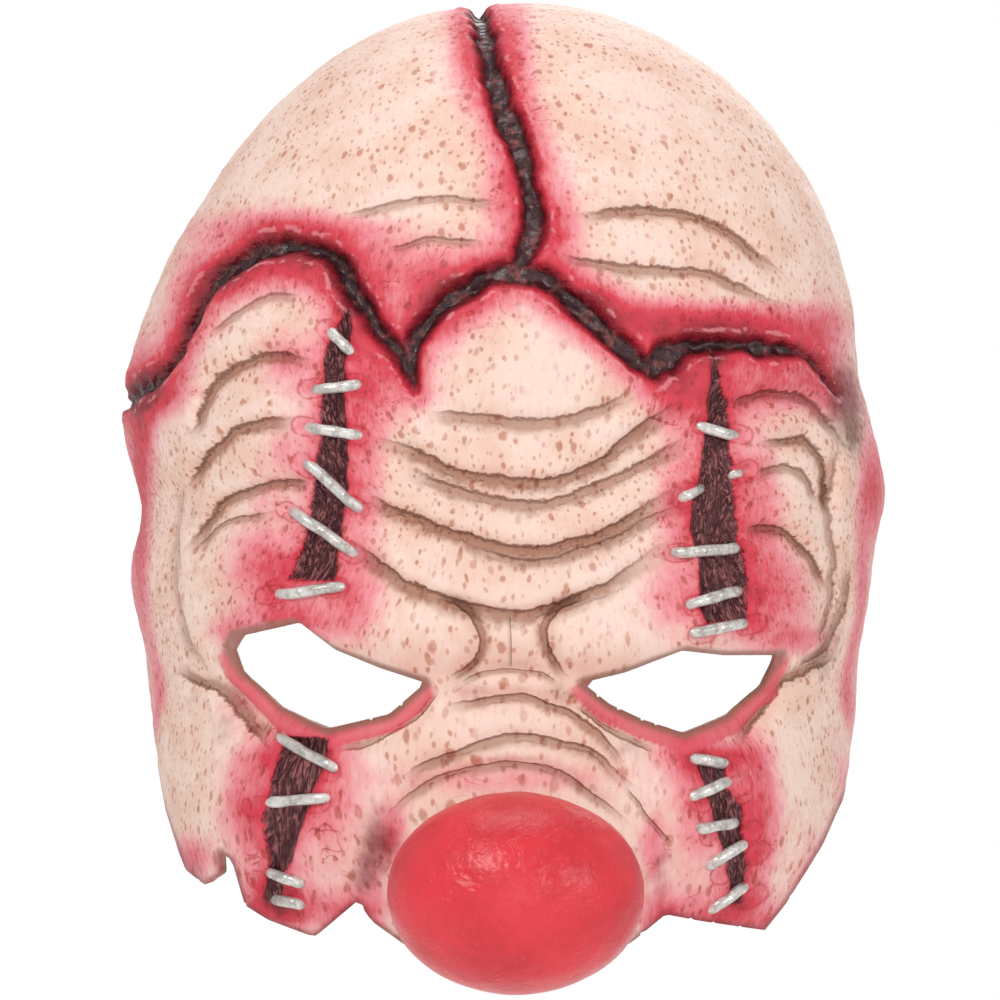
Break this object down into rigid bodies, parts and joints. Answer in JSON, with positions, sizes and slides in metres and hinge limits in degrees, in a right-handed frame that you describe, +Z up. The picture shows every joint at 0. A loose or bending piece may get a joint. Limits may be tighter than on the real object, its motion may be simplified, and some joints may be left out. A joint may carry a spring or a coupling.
{
  "type": "clown half mask",
  "caption": "Moulded latex half mask of a wrinkled clown face with a split skull, stitched wounds, open eye holes, a hollow round nose and an elastic head strap.",
  "frame": {"origin": "where the mask sits on its wearer: the inner face of the latex at the bridge of the nose, between the eye holes", "axes": "+Z up, +Y from the mask towards the wearer's head so that the mask faces -Y, +X to the right of someone who looks at its face"},
  "size_m": [0.1842, 0.2374, 0.2389],
  "materials": {
    "skin_latex": "moulded latex, airbrushed cream, pink, red and brown, satin",
    "nose_latex": "painted red latex, semi-gloss, softly wrinkled",
    "stitch_silver": "cast latex bars brushed with silver paint",
    "elastic_weave": "flat woven elastic, ribbed along its length"
  },
  "bodies": {
    "root": {"mask_skin": "skin_latex", "nose_bulb": "nose_latex", "elastic_strap": "elastic_weave", "stitch_brow_left_1": "stitch_silver", "stitch_brow_left_2": "stitch_silver", "stitch_brow_left_3": "stitch_silver", "stitch_brow_left_4": "stitch_silver", "stitch_brow_left_5": "stitch_silver", "stitch_brow_left_6": "stitch_silver", "stitch_brow_right_1": "stitch_silver", "stitch_brow_right_2a": "stitch_silver", "stitch_brow_right_2b": "stitch_silver", "stitch_brow_right_3": "stitch_silver", "stitch_brow_right_4": "stitch_silver", "stitch_brow_right_5": "stitch_silver", "stitch_cheek_left_1": "stitch_silver", "stitch_cheek_left_2": "stitch_silver", "stitch_cheek_left_3": "stitch_silver", "stitch_cheek_left_4": "stitch_silver", "stitch_cheek_right_1": "stitch_silver", "stitch_cheek_right_2": "stitch_silver", "stitch_cheek_right_3": "stitch_silver", "stitch_cheek_right_4": "stitch_silver", "stitch_cheek_right_5": "stitch_silver"}
  },
  "joints": []
}
